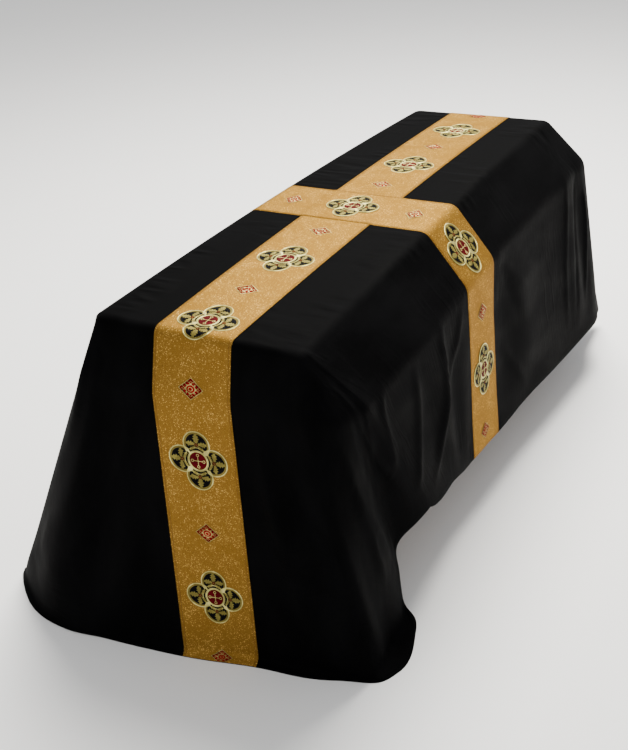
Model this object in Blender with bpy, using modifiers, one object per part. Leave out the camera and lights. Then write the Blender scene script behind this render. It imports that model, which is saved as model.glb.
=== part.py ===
"""Funeral pall over a coffin on a bier.

A black pall with rounded corners lies over a coffin. A gold band runs along it from hem to hem, and a
second gold band crosses over the first. The near end of the pall reaches the floor, and the sides hang
above it. Metres, +Z up; the origin is on the floor under the middle of the coffin; -Y is the near end.
"""

import math

import bmesh
import bpy
import numpy as np

# Coffin top, as the cloth lies on it
TOP_LENGTH = 1.794
TOP_HALF_NEAR = 0.287
TOP_HALF_FAR = 0.243
TOP_HEIGHT = 0.893
TOP_CROWN = 0.015
CORNER_ROUND = 0.022

# Sloping lid below the top's edge: how far out it goes at the sides, and how far down
SIDE_SLOPE_OUT = 0.118
SLOPE_DROP = 0.146

# Pall, as cut flat
PALL_HALF_WIDTH = 1.007
PALL_LENGTH = 3.454
PALL_CORNER_RADIUS = 0.44
CLOTH_THICKNESS = 0.0025

# Bands
BAND_HALF = 0.106
BAND_THICKNESS = 0.001
CROSS_Y = -0.088
SEWN_GAP = 0.0003
CROSSING_LIFT = 0.0016

# Coffin and bier
COFFIN_CLEARANCE = 0.013
COFFIN_END_CLEARANCE = 0.016
COFFIN_FLAT_INSET = 0.055
COFFIN_TAPER = 0.06
COFFIN_TOP_CORNER = 0.022
SEAT_END_NARROWING = 0.8
COFFIN_BOTTOM = 0.333
COFFIN_CHAMFER_WIDTH = 0.075
COFFIN_CHAMFER_LENGTH = 0.26
BIER_HALF_WIDTH = 0.2
BIER_LENGTH = 1.45
BIER_BEVEL = 0.006

# How soft the bends of the cloth are: half the stretch over which a bend is spread, in so many samples
BEND_HALF = 0.018
BEND_SAMPLES = 9
# What is left of the cloth at the floor runs out level, and the folds fade over the last stretch above it
RUN_OUT = 0.6
FOLDS_FADE = 0.05
# Rows of the mesh stand this far from the top's edge, and this far above and below the lid's lower edge
EDGE_ROW = 0.018
LID_ROW = 0.014

# How many steps the mesh has
SIDE_STEPS = (11, 3, 12)
END_STEPS = (5, 3, 5)
CORNER_STEPS = {"near_right": 20, "far_right": 12, "far_left": 10, "near_left": 18}
HANGING_STEPS = 8
COFFIN_LID_STEPS = 6

NEAR_Y = -TOP_LENGTH / 2
FAR_Y = TOP_LENGTH / 2
RING = 8

# The pall's fall is worked out on a ring of stations round the top, anticlockwise from above:
# 0 to 1 the near end, 2 to 3 the right side, 4 to 5 the far end, 6 to 7 the left side, and the corners
# between them. Each section gives where the fall passes the lid's lower edge and where it meets the floor.
# station, x and y at the lid's lower edge, x and y at the floor
SECTIONS = (
    (0.00, -0.255, -0.944, -0.300, -1.046),
    (0.29, -0.106, -0.947, -0.083, -1.013),
    (0.71, 0.108, -0.926, 0.124, -0.958),
    (1.00, 0.262, -0.934, 0.300, -0.930),
    (1.10, 0.305, -0.942, 0.402, -0.905),
    (1.20, 0.342, -0.932, 0.416, -0.856),
    (1.32, 0.372, -0.908, 0.401, -0.764),
    (1.42, 0.382, -0.885, 0.394, -0.681),
    (1.56, 0.384, -0.865, 0.335, -0.545),
    (1.71, 0.390, -0.842, 0.331, -0.508),
    (1.86, 0.402, -0.815, 0.398, -0.442),
    (1.94, 0.400, -0.795, 0.421, -0.417),
    (2.00, 0.399, -0.775, 0.437, -0.389),
    (2.20, 0.402, -0.516, 0.389, -0.251),
    (2.39, 0.386, -0.192, 0.396, -0.160),
    (2.51, 0.380, 0.018, 0.416, -0.004),
    (2.62, 0.374, 0.210, 0.422, 0.204),
    (2.80, 0.367, 0.516, 0.449, 0.510),
    (3.00, 0.364, 0.880, 0.477, 0.847),
    (3.25, 0.342, 0.935, 0.405, 1.050),
    (3.50, 0.308, 0.950, 0.365, 1.230),
    (3.75, 0.265, 0.948, 0.290, 1.080),
    (4.00, 0.215, 0.944, 0.232, 1.010),
    (4.50, 0.000, 0.944, 0.000, 0.996),
    (5.00, -0.215, 0.944, -0.236, 1.010),
    (5.25, -0.270, 0.948, -0.330, 1.120),
    (5.50, -0.315, 0.945, -0.430, 1.250),
    (5.75, -0.350, 0.915, -0.430, 1.040),
    (6.00, -0.368, 0.860, -0.452, 0.900),
    (6.25, -0.370, 0.450, -0.446, 0.460),
    (6.50, -0.382, 0.000, -0.420, 0.010),
    (6.70, -0.396, -0.350, -0.424, -0.290),
    (6.90, -0.396, -0.700, -0.440, -0.420),
    (7.00, -0.392, -0.775, -0.450, -0.460),
    (7.14, -0.392, -0.800, -0.480, -0.490),
    (7.28, -0.388, -0.824, -0.610, -0.560),
    (7.40, -0.372, -0.846, -0.560, -0.690),
    (7.52, -0.348, -0.876, -0.500, -0.790),
    (7.62, -0.345, -0.905, -0.600, -0.850),
    (7.72, -0.330, -0.925, -0.702, -0.925),
    (7.80, -0.325, -0.938, -0.560, -1.030),
    (7.90, -0.290, -0.943, -0.420, -1.066),
)

# Main folds that run down the fall, as soft ridges, or as troughs where the reach is negative:
# station at the top and at the hem, half width in stations at the top and at the hem,
# the part of the fall where it starts and where it is full, and its reach
FOLDS = (
    (7.98, 7.80, 0.05, 0.07, 0.05, 0.60, 0.016),
    (0.10, 7.92, 0.08, 0.05, 0.15, 0.80, -0.014),
    (0.22, 0.02, 0.08, 0.10, 0.45, 0.85, 0.012),
    (0.72, 1.06, 0.07, 0.05, 0.15, 0.55, 0.018),
    (0.86, 1.14, 0.08, 0.05, 0.20, 0.60, -0.012),
    (1.02, 1.22, 0.08, 0.06, 0.15, 0.60, 0.012),
    (2.10, 2.12, 0.05, 0.06, 0.25, 0.60, 0.004),
    (2.25, 2.20, 0.05, 0.05, 0.20, 0.60, 0.014),
    (2.37, 2.33, 0.04, 0.04, 0.20, 0.60, 0.008),
    (2.54, 2.57, 0.05, 0.06, 0.22, 0.50, -0.012),
    (2.62, 2.64, 0.06, 0.08, 0.20, 0.70, 0.010),
    (2.90, 2.91, 0.04, 0.04, 0.10, 0.40, 0.006),
    (2.95, 2.96, 0.03, 0.04, 0.10, 0.40, -0.008),
    (6.15, 6.15, 0.08, 0.08, 0.20, 0.60, 0.014),
    (6.36, 6.38, 0.06, 0.08, 0.20, 0.60, 0.012),
    (6.66, 6.68, 0.05, 0.06, 0.20, 0.60, 0.018),
    (6.82, 6.84, 0.05, 0.06, 0.20, 0.60, 0.016),
    (4.30, 4.28, 0.12, 0.14, 0.20, 0.70, 0.010),
    (4.75, 4.78, 0.12, 0.14, 0.20, 0.70, 0.010),
)


def top_half(y):
    """Half the top's width, which narrows to the far end."""
    return TOP_HALF_NEAR + (TOP_HALF_FAR - TOP_HALF_NEAR) * (y - NEAR_Y) / TOP_LENGTH


def top_z(y):
    """Height of the cloth on the top, which is slightly crowned along its length."""
    return TOP_HEIGHT + TOP_CROWN * (1 - (2 * y / TOP_LENGTH) ** 2)


def steps(limits, counts):
    """Even steps between each pair of limits, each limit once."""
    runs = [np.linspace(a, b, n + 1)[:-1] for a, b, n in zip(limits, limits[1:], counts)]
    return np.concatenate(runs + [limits[-1:]])


def smooth_between(known, values, wanted):
    """A smooth curve through the values, one slope at each known place from its two neighbours."""
    known, values = np.asarray(known), np.asarray(values)
    slopes = np.gradient(values, known)
    right = np.clip(np.searchsorted(known, wanted, side="right"), 1, len(known) - 1)
    left = right - 1
    gap = known[right] - known[left]
    q = (wanted - known[left]) / gap
    return (
        (2 * q**3 - 3 * q**2 + 1) * values[left]
        + (q**3 - 2 * q**2 + q) * gap * slopes[left]
        + (3 * q**2 - 2 * q**3) * values[right]
        + (q**3 - q**2) * gap * slopes[right]
    )


def ring_values(column, station):
    """One column of the sections' table at the stations, taken round the ring without a seam."""
    table = np.array(SECTIONS)
    before, after = table[-4:], table[:4]
    known = np.concatenate([before[:, 0] - RING, table[:, 0], after[:, 0] + RING])
    values = np.concatenate([before[:, column], table[:, column], after[:, column]])
    return smooth_between(known, values, np.mod(station, RING))


def ring_offset(station, middle):
    """Signed way round the ring from the middle to the station, by the shorter side."""
    return (station - middle + RING / 2) % RING - RING / 2


def side_stations():
    """Places along the coffin where the columns of the sides stand."""
    limits = (NEAR_Y + CORNER_ROUND, CROSS_Y - BAND_HALF, CROSS_Y + BAND_HALF, FAR_Y - CORNER_ROUND)
    return steps(limits, SIDE_STEPS)


def end_stations(half):
    """Places across the coffin where the columns of an end stand."""
    limits = (-half + CORNER_ROUND, -BAND_HALF, BAND_HALF, half - CORNER_ROUND)
    return steps(limits, END_STEPS)


def corner_columns(centre, start_angle, count, station):
    """Columns that fan out from a rounded corner of the top, without the first and the last."""
    q = np.arange(1, count) / count
    angle = start_angle + q * math.pi / 2
    way = np.stack([np.cos(angle), np.sin(angle)], 1)
    return np.tile(centre, (count - 1, 1)), way, CORNER_ROUND * np.ones(count - 1), station + q


def straight_columns(foot, way, station):
    """Columns that leave a straight edge of the top at right angles."""
    count = len(foot)
    return foot, np.tile(way, (count, 1)), np.zeros(count), station


def ring_columns():
    """Every column of the fall: where it starts in the flat cloth, its direction there, and its station."""
    near_x = end_stations(TOP_HALF_NEAR)
    far_x = end_stations(TOP_HALF_FAR)
    side_y = side_stations()
    near, far = NEAR_Y + CORNER_ROUND, FAR_Y - CORNER_ROUND
    near_half, far_half = near_x[-1], far_x[-1]

    def along(values):
        return (values - values[0]) / (values[-1] - values[0])

    def edge(y, sign):
        return np.stack([sign * (top_half(y)), y], 1)

    groups = (
        straight_columns(np.stack([near_x, np.full_like(near_x, NEAR_Y)], 1), (0, -1), along(near_x)),
        corner_columns((near_half, near), -math.pi / 2, CORNER_STEPS["near_right"], 1),
        straight_columns(edge(side_y, 1), (1, 0), 2 + along(side_y)),
        corner_columns((far_half, far), 0, CORNER_STEPS["far_right"], 3),
        straight_columns(np.stack([far_x[::-1], np.full_like(far_x, FAR_Y)], 1), (0, 1), 4 + along(far_x)),
        corner_columns((-far_half, far), math.pi / 2, CORNER_STEPS["far_left"], 5),
        straight_columns(edge(side_y[::-1], -1), (-1, 0), 7 - along(side_y)[::-1]),
        corner_columns((-near_half, near), math.pi, CORNER_STEPS["near_left"], 7),
    )
    foot, way, start, station = (np.concatenate(part) for part in zip(*groups))
    return foot + way * start[:, None], way, station


def inside_outline(point):
    """Below 0 inside the pall's flat outline with its rounded corners, above 0 outside."""
    centre = np.array([0, CROSS_Y])
    half = np.array([PALL_HALF_WIDTH, PALL_LENGTH / 2]) - PALL_CORNER_RADIUS
    beyond = np.abs(point - centre) - half
    outside = np.linalg.norm(np.maximum(beyond, 0), axis=-1)
    return outside + np.minimum(beyond.max(-1), 0) - PALL_CORNER_RADIUS


def fall_lengths(foot, way):
    """How far each column runs in the flat cloth from the top's edge to the hem, by halving."""
    low, high = np.zeros(len(foot)), np.full(len(foot), PALL_LENGTH)
    for _ in range(40):
        middle = (low + high) / 2
        out = inside_outline(foot + way * middle[:, None]) > 0
        high = np.where(out, middle, high)
        low = np.where(out, low, middle)
    return low


def bent_path(corners, length):
    """Points along a path through the corners, with its bends spread softly, at the given lengths.

    corners holds the columns' paths as (column, corner, xyz), and length holds the wanted lengths from
    the second corner on, as (column, step).
    """
    runs = np.linalg.norm(np.diff(corners, axis=1), axis=2)
    at = np.concatenate([np.zeros((len(runs), 1)), np.cumsum(runs, 1)], 1) - runs[:, :1]
    offsets = np.linspace(-BEND_HALF, BEND_HALF, BEND_SAMPLES)
    total = 0
    for offset in offsets:
        wanted = length + offset
        points = np.empty(wanted.shape + (3,))
        for k in range(len(corners)):
            for axis in range(3):
                points[k, :, axis] = np.interp(wanted[k], at[k], corners[k, :, axis])
        total = total + points
    return total / len(offsets)


def column_corners(foot, way, station):
    """The corners of each column's path: inside the top, its edge, the lid's lower edge, floor, run-out."""
    edge = np.column_stack([foot, top_z(foot[:, 1])])
    inner = edge - np.column_stack([way * CORNER_ROUND, np.zeros(len(way))])
    lid = np.column_stack([ring_values(1, station), ring_values(2, station), edge[:, 2] - SLOPE_DROP])
    floor_xy = np.column_stack([ring_values(3, station), ring_values(4, station)])
    floor = np.column_stack([floor_xy, np.full(len(foot), CLOTH_THICKNESS)])
    out = floor_xy - foot
    out /= np.linalg.norm(out, axis=1)[:, None]
    run_out = floor + np.column_stack([out * RUN_OUT, np.zeros(len(foot))])
    return np.stack([inner, edge, lid, floor, run_out], 1)


def ring_normals(points):
    """Outward unit normals of the fall's grid, which closes on itself round the ring."""
    round_ring = np.roll(points, -1, 0) - np.roll(points, 1, 0)
    down = np.gradient(points, axis=1)
    normal = np.cross(down, round_ring)
    return normal / np.maximum(np.linalg.norm(normal, axis=2), 1e-9)[..., None]


def soft_step(q):
    q = np.clip(q, 0, 1)
    return q * q * (3 - 2 * q)


def fold_reach(station, fall):
    """How far the main folds push the cloth out at each station and part of the fall."""
    reach = np.zeros(np.broadcast(station, fall).shape)
    for top_at, hem_at, top_half_width, hem_half_width, starts, full, height in FOLDS:
        middle = top_at + ring_offset(hem_at, top_at) * fall
        half_width = top_half_width + (hem_half_width - top_half_width) * fall
        away = ring_offset(station, middle) / half_width
        growth = soft_step((fall - starts) / (full - starts))
        rounded = np.clip(1 - (away / 2) ** 2, 0, 1) ** 4
        reach += height * growth * rounded
    return reach


def fall_grid():
    """The pall's outer surface from the top's edge to the hem, as (column, step, xyz)."""
    foot, way, station = ring_columns()
    length = fall_lengths(foot, way)
    corners = column_corners(foot, way, station)
    lid = np.linalg.norm(corners[:, 2] - corners[:, 1], axis=1)
    low_lid = lid + LID_ROW
    rows = [0 * lid, 0 * lid + EDGE_ROW, lid / 2, lid - LID_ROW]
    rows += [low_lid + (length - low_lid) * q for q in np.linspace(0, 1, HANGING_STEPS + 1)]
    wanted = np.stack(rows, 1)
    points = bent_path(corners, wanted)
    reach = fold_reach(station[:, None], wanted / length[:, None])
    above_floor = np.clip((points[..., 2] - CLOTH_THICKNESS) / FOLDS_FADE, 0, 1)
    points += ring_normals(points) * (reach * above_floor)[..., None]
    points[..., 2] = np.maximum(points[..., 2], CLOTH_THICKNESS)
    return points


def quads(grid):
    """Triangles of a grid of point numbers, each square cut along the same diagonal."""
    a, b = grid[:-1, :-1].ravel(), grid[1:, :-1].ravel()
    c, d = grid[1:, 1:].ravel(), grid[:-1, 1:].ravel()
    return np.concatenate([np.stack([a, b, c], 1), np.stack([a, c, d], 1)])


def pall_surface():
    """The whole outer surface: point places, triangles, and the point numbers of the grids."""
    fall = fall_grid()
    columns, rows = fall.shape[:2]
    numbers = np.arange(columns * rows).reshape(columns, rows)
    points = [fall.reshape(-1, 3)]

    side_y = side_stations()
    across = sum(END_STEPS) + 1
    along = len(side_y)
    starts = np.cumsum([0, across, CORNER_STEPS["near_right"] - 1, along, CORNER_STEPS["far_right"] - 1,
                        across, CORNER_STEPS["far_left"] - 1, along, CORNER_STEPS["near_left"] - 1])

    # The top's own grid: the lines of the ends and of the sides, with the fall's first points as its rim.
    top = np.empty((across, along), int)
    inner = []
    for j, y in enumerate(side_y):
        half = top_half(y)
        for i, x in enumerate(end_stations(half)):
            top[i, j] = columns * rows + len(inner)
            inner.append((x, y, top_z(y)))
    points.append(np.array(inner))

    near = numbers[starts[0]:starts[1], 0]
    near_right = numbers[starts[1]:starts[2], 0]
    right = numbers[starts[2]:starts[3], 0]
    far_right = numbers[starts[3]:starts[4], 0]
    far = numbers[starts[4]:starts[5], 0][::-1]
    far_left = numbers[starts[5]:starts[6], 0]
    left = numbers[starts[6]:starts[7], 0][::-1]
    near_left = numbers[starts[7]:starts[8], 0]

    triangles = [quads(np.concatenate([numbers, numbers[:1]])[:, ::-1])]
    full = np.full((across + 2, along + 2), -1)
    full[1:-1, 1:-1] = top
    full[1:-1, 0], full[1:-1, -1] = near, far
    full[0, 1:-1], full[-1, 1:-1] = left, right
    triangles.append(quads(full[1:-1, :]))
    triangles.append(quads(full[:2, 1:-1]))
    triangles.append(quads(full[-2:, 1:-1]))
    for hub, rim in (
        (top[-1, 0], [near[-1], *near_right, right[0]]),
        (top[-1, -1], [right[-1], *far_right, far[-1]]),
        (top[0, -1], [far[0], *far_left, left[-1]]),
        (top[0, 0], [left[0], *near_left, near[0]]),
    ):
        triangles.append(np.array([(hub, a, b) for a, b in zip(rim, rim[1:])]))
    return np.concatenate(points), np.concatenate(triangles), full, numbers, starts


def vertex_normals(points, triangles):
    a, b, c = (points[triangles[:, k]] for k in range(3))
    face = np.cross(b - a, c - a)
    total = np.zeros_like(points)
    for k in range(3):
        np.add.at(total, triangles[:, k], face)
    return total / np.linalg.norm(total, axis=1)[:, None]


def make_material(name, colour, roughness, metallic=0.0):
    material = bpy.data.materials.new(name)
    material.use_nodes = True
    shader = material.node_tree.nodes["Principled BSDF"]
    shader.inputs["Base Color"].default_value = (*colour, 1)
    shader.inputs["Roughness"].default_value = roughness
    shader.inputs["Metallic"].default_value = metallic
    return material


def add_object(name, mesh, material, collection):
    obj = bpy.data.objects.new(name, mesh)
    obj.data.materials.append(material)
    collection.objects.link(obj)
    return obj


def sheet_object(name, points, triangles, thickness, offset, material, collection):
    """An open surface made thick: offset -1 thickens it inwards, and 1 outwards."""
    used, index = np.unique(triangles, return_inverse=True)
    mesh = bpy.data.meshes.new(name)
    mesh.from_pydata(points[used].tolist(), [], index.reshape(-1, 3).tolist())
    mesh.shade_smooth()
    obj = add_object(name, mesh, material, collection)
    solid = obj.modifiers.new("Thickness", "SOLIDIFY")
    solid.thickness = thickness
    solid.offset = offset
    solid.use_even_offset = False
    return obj


def band_objects(points, normals, triangles, full, numbers, starts, collection, gold):
    """The two bands: the cloth's own triangles between the band's lines, lifted off it by the sewn gap."""
    first, last = END_STEPS[0], END_STEPS[0] + END_STEPS[1]
    near = numbers[starts[0] + first:starts[0] + last + 1]
    far = numbers[starts[4]:starts[5]][::-1][first:last + 1]
    long_grid = (near, full[1 + first:2 + last, 1:-1], far)

    first_row, last_row = SIDE_STEPS[0], SIDE_STEPS[0] + SIDE_STEPS[1]
    left = numbers[starts[6]:starts[7]][::-1][first_row:last_row + 1]
    right = numbers[starts[2]:starts[3]][first_row:last_row + 1]
    cross_grid = (left, full[1:-1, 1 + first_row:2 + last_row], right)

    crossing = full[1 + first:2 + last, 1 + first_row:2 + last_row]
    bands = (("long_band", long_grid, 0), ("cross_band", cross_grid, CROSSING_LIFT))
    for name, grid, lift_at_crossing in bands:
        lift = np.full(len(points), SEWN_GAP)
        lift[crossing.ravel()] += lift_at_crossing
        inside = np.isin(triangles, np.concatenate([part.ravel() for part in grid])).all(1)
        lifted = points + normals * lift[:, None]
        sheet_object(name, lifted, triangles[inside], BAND_THICKNESS, 1, gold, collection)


def coffin_section(y, narrow, lowered):
    """Half outline of the coffin at one place along it, from the bottom up, drawn in near its ends."""
    half = top_half(y)
    shoulder = half + SIDE_SLOPE_OUT - COFFIN_CLEARANCE - narrow
    top_inset = COFFIN_CLEARANCE / 2 + COFFIN_TOP_CORNER * narrow / COFFIN_CHAMFER_WIDTH
    seat = top_z(y) - CLOTH_THICKNESS - SEWN_GAP
    edge = top_z(y) - COFFIN_CLEARANCE
    return (
        (shoulder - COFFIN_TAPER, COFFIN_BOTTOM),
        (shoulder, edge - SLOPE_DROP),
        (half - top_inset, edge),
        (half - COFFIN_FLAT_INSET, edge if lowered else seat),
    )


def add_coffin(material, collection):
    """A lofted box with a sloping lid and a flat the pall rests on, narrowed and lowered at both ends."""
    end = TOP_LENGTH / 2 - COFFIN_END_CLEARANCE
    drawn_in = TOP_LENGTH / 2 - COFFIN_FLAT_INSET
    straight = TOP_LENGTH / 2 - COFFIN_CHAMFER_LENGTH
    sections = [(-end, 1.0, True), (-drawn_in, SEAT_END_NARROWING, False)]
    sections += [(y, 0.0, False) for y in np.linspace(-straight, straight, COFFIN_LID_STEPS + 1)]
    sections += [(drawn_in, SEAT_END_NARROWING, False), (end, 1.0, True)]
    build = bmesh.new()
    rings = []
    for y, narrow, lowered in sections:
        half_outline = coffin_section(y, narrow * COFFIN_CHAMFER_WIDTH, lowered)
        outline = half_outline + tuple((-x, z) for x, z in reversed(half_outline))
        rings.append([build.verts.new((x, y, z)) for x, z in outline])
    for here, there in zip(rings, rings[1:]):
        for k in range(len(here)):
            after = (k + 1) % len(here)
            build.faces.new((here[k], here[after], there[after], there[k]))
    build.faces.new(rings[0][::-1])
    build.faces.new(rings[-1])
    bmesh.ops.recalc_face_normals(build, faces=build.faces)
    bmesh.ops.triangulate(build, faces=build.faces)
    mesh = bpy.data.meshes.new("coffin")
    build.to_mesh(mesh)
    build.free()
    return add_object("coffin", mesh, material, collection)


def add_bier(material, collection):
    """A plain plinth, narrower than the coffin, that the coffin stands on."""
    build = bmesh.new()
    bmesh.ops.create_cube(build, size=1)
    mesh = bpy.data.meshes.new("bier")
    height = COFFIN_BOTTOM - SEWN_GAP
    for vert in build.verts:
        vert.co.x *= 2 * BIER_HALF_WIDTH
        vert.co.y *= BIER_LENGTH
        vert.co.z = (vert.co.z + 0.5) * height
    build.to_mesh(mesh)
    build.free()
    bier = add_object("bier", mesh, material, collection)
    bevel = bier.modifiers.new("Edges", "BEVEL")
    bevel.width = BIER_BEVEL
    bevel.segments = 2
    return bier


def main():
    for obj in list(bpy.data.objects):
        bpy.data.objects.remove(obj)
    collection = bpy.data.collections.new("funeral_pall")
    bpy.context.scene.collection.children.link(collection)

    velvet = make_material("black_velvet", (0.006, 0.006, 0.008), 0.9)
    gold = make_material("gold_brocade", (0.60, 0.40, 0.14), 0.45, 0.5)
    wood = make_material("dark_wood", (0.10, 0.05, 0.025), 0.5)
    stand = make_material("bier_wood", (0.16, 0.10, 0.06), 0.6)

    points, triangles, full, numbers, starts = pall_surface()
    normals = vertex_normals(points, triangles)
    sheet_object("pall_cloth", points, triangles, CLOTH_THICKNESS, -1, velvet, collection)
    band_objects(points, normals, triangles, full, numbers, starts, collection, gold)
    add_coffin(wood, collection)
    add_bier(stand, collection)


main()
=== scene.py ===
"""Looks for the funeral pall: velvet, gold bands with woven motifs, stitches, and the wood under them.

Metres in the row frame: the origin is on the floor under the coffin, -Y is the near end, +X the long
side that the camera sees.
"""

import math

import bpy
import numpy as np
from mathutils import Matrix, Vector


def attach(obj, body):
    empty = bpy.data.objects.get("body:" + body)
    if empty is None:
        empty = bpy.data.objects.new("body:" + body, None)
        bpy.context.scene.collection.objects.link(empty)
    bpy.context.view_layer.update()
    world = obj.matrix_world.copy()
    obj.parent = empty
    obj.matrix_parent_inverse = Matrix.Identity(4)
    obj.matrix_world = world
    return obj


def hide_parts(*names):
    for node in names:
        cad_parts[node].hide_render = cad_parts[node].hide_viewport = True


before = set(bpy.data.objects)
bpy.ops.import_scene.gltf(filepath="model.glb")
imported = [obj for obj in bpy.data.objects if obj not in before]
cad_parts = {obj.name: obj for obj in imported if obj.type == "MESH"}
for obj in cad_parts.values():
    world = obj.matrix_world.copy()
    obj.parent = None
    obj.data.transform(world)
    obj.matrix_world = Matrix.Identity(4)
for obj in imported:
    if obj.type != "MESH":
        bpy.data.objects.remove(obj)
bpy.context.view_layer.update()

# Coffin top, as the cloth lies on it
TOP_LENGTH = 1.794
TOP_HALF_NEAR = 0.287
TOP_HALF_FAR = 0.243
TOP_HEIGHT = 0.893
TOP_CROWN = 0.015
CORNER_ROUND = 0.022
SLOPE_DROP = 0.146

# Pall, as cut flat
PALL_HALF_WIDTH = 1.007
PALL_LENGTH = 3.454
PALL_CORNER_RADIUS = 0.44
CLOTH_THICKNESS = 0.0025

# Bands and what is sewn on them
BAND_HALF = 0.106
BAND_THICKNESS = 0.001
CROSS_Y = -0.088
SEWN_GAP = 0.0003
CROSSING_LIFT = 0.0016
CROSSING_RAMP = 0.012
MOTIF_STEP = 0.19
QUATREFOIL_REACH = (0.081, 0.080)
DIAMOND_REACH = (0.034, 0.0275)
# How far along their band some motifs lie from their even places
MOTIF_SHIFTS = {("long_band", -4): 0.018, ("long_band", -5): 0.011, ("long_band", -6): 0.013,
                ("cross_band", 2): -0.012, ("cross_band", 4): -0.012}
STITCH_INSET = 0.006
HEM_INSET = 0.012

# Stitches: length, gap, half width and height, and the profile as places across and heights
BAND_STITCH = (0.004, 0.0016, 0.0005, 0.0005)
HEM_STITCH = (0.005, 0.003, 0.0006, 0.0005)
STITCH_PROFILE = ((-1, 0.2), (0, 1), (1, 0.2))

# How soft the bends of the cloth are, how it runs out on the floor, and where its folds fade
BEND_HALF = 0.018
BEND_SAMPLES = 15
INNER_REACH = 0.14
RUN_OUT = 0.6
FOLDS_FADE = 0.05
LID_ROW = 0.014
HEM_EVENED = 14
HEM_EVEN_FROM = 0.78
FINE_FOLD_SAMPLES = 60
FINE_FOLD_SMOOTHING = 12
FINE_FOLD_END = 0.25

# How many steps the cloth's mesh has: along the sides, across the ends, round the near right, far right,
# far left and near left corners, and down the fall. The sides' steps are closer from the last place on.
SIDE_STEPS = (44, 24, 34, 26)
END_STEPS = (12, 24, 12)
CORNER_STEPS = (68, 40, 26, 52)
EDGE_ROWS = tuple(round(0.004 * k - 0.022, 3) for k in range(11))
LID_STEPS = 14
HANGING_STEPS = 52
CLOSE_STEPS_FROM = 0.60

# The photo's camera, turned in degrees about its own axes from looking straight down
CAMERA_PLACE = (1.416, -2.739, 2.031)
CAMERA_TURNS = (("Z", 30.70), ("X", 61.18), ("Z", -4.49), ("Y", 0.173))
LENS_MM = 54.15
SENSOR_MM = 36

# Lights as name, place, target, size, watts and colour, and the room
LIGHTS = (
    ("key", (-0.3, 2.1, 4.9), (0, 0.2, 0.6), 3.2, 820, (1.0, 0.97, 0.90)),
    ("right_fill", (4.6, -0.6, 2.4), (0, 0, 0.5), 2.4, 18, (1, 1, 1)),
    ("front_fill", (-0.6, -3.6, 1.0), (0, -0.9, 0.4), 2.0, 10, (1, 1, 1)),
)
ROOM_STRENGTH = 0.8
FLOOR_HALF = 14

NEAR_Y = -TOP_LENGTH / 2
FAR_Y = TOP_LENGTH / 2
RING = 8

# Where the fall passes the lid's lower edge and where it meets the floor, at stations round the top:
# 0 to 1 the near end, 2 to 3 the right side, 4 to 5 the far end, 6 to 7 the left side.
# station, x and y at the lid's lower edge, x and y at the floor
SECTIONS = (
    (0.00, -0.255, -0.944, -0.300, -1.046),
    (0.29, -0.106, -0.947, -0.083, -1.013),
    (0.71, 0.108, -0.926, 0.124, -0.958),
    (1.00, 0.262, -0.934, 0.300, -0.930),
    (1.10, 0.305, -0.942, 0.402, -0.905),
    (1.20, 0.342, -0.932, 0.416, -0.856),
    (1.32, 0.372, -0.908, 0.401, -0.764),
    (1.42, 0.382, -0.885, 0.394, -0.681),
    (1.56, 0.384, -0.865, 0.335, -0.545),
    (1.71, 0.390, -0.842, 0.331, -0.508),
    (1.86, 0.402, -0.815, 0.398, -0.442),
    (1.94, 0.400, -0.795, 0.421, -0.417),
    (2.00, 0.399, -0.775, 0.433, -0.389),
    (2.20, 0.402, -0.516, 0.400, -0.251),
    (2.39, 0.386, -0.192, 0.396, -0.160),
    (2.51, 0.380, 0.018, 0.416, -0.004),
    (2.62, 0.374, 0.210, 0.422, 0.204),
    (2.80, 0.367, 0.516, 0.449, 0.510),
    (3.00, 0.364, 0.880, 0.477, 0.847),
    (3.25, 0.342, 0.935, 0.405, 1.050),
    (3.50, 0.308, 0.950, 0.365, 1.230),
    (3.75, 0.265, 0.948, 0.290, 1.080),
    (4.00, 0.215, 0.944, 0.232, 1.010),
    (4.50, 0.000, 0.944, 0.000, 0.996),
    (5.00, -0.215, 0.944, -0.236, 1.010),
    (5.25, -0.270, 0.948, -0.330, 1.120),
    (5.50, -0.315, 0.945, -0.430, 1.250),
    (5.75, -0.350, 0.915, -0.430, 1.040),
    (6.00, -0.368, 0.860, -0.452, 0.900),
    (6.25, -0.370, 0.450, -0.446, 0.460),
    (6.50, -0.382, 0.000, -0.420, 0.010),
    (6.70, -0.396, -0.350, -0.424, -0.290),
    (6.90, -0.396, -0.700, -0.440, -0.420),
    (7.00, -0.392, -0.775, -0.450, -0.460),
    (7.14, -0.392, -0.800, -0.480, -0.490),
    (7.28, -0.388, -0.824, -0.610, -0.560),
    (7.40, -0.372, -0.846, -0.560, -0.690),
    (7.52, -0.348, -0.876, -0.500, -0.790),
    (7.62, -0.345, -0.905, -0.600, -0.850),
    (7.72, -0.330, -0.925, -0.702, -0.925),
    (7.80, -0.325, -0.938, -0.560, -1.030),
    (7.90, -0.290, -0.943, -0.420, -1.066),
)

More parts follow.
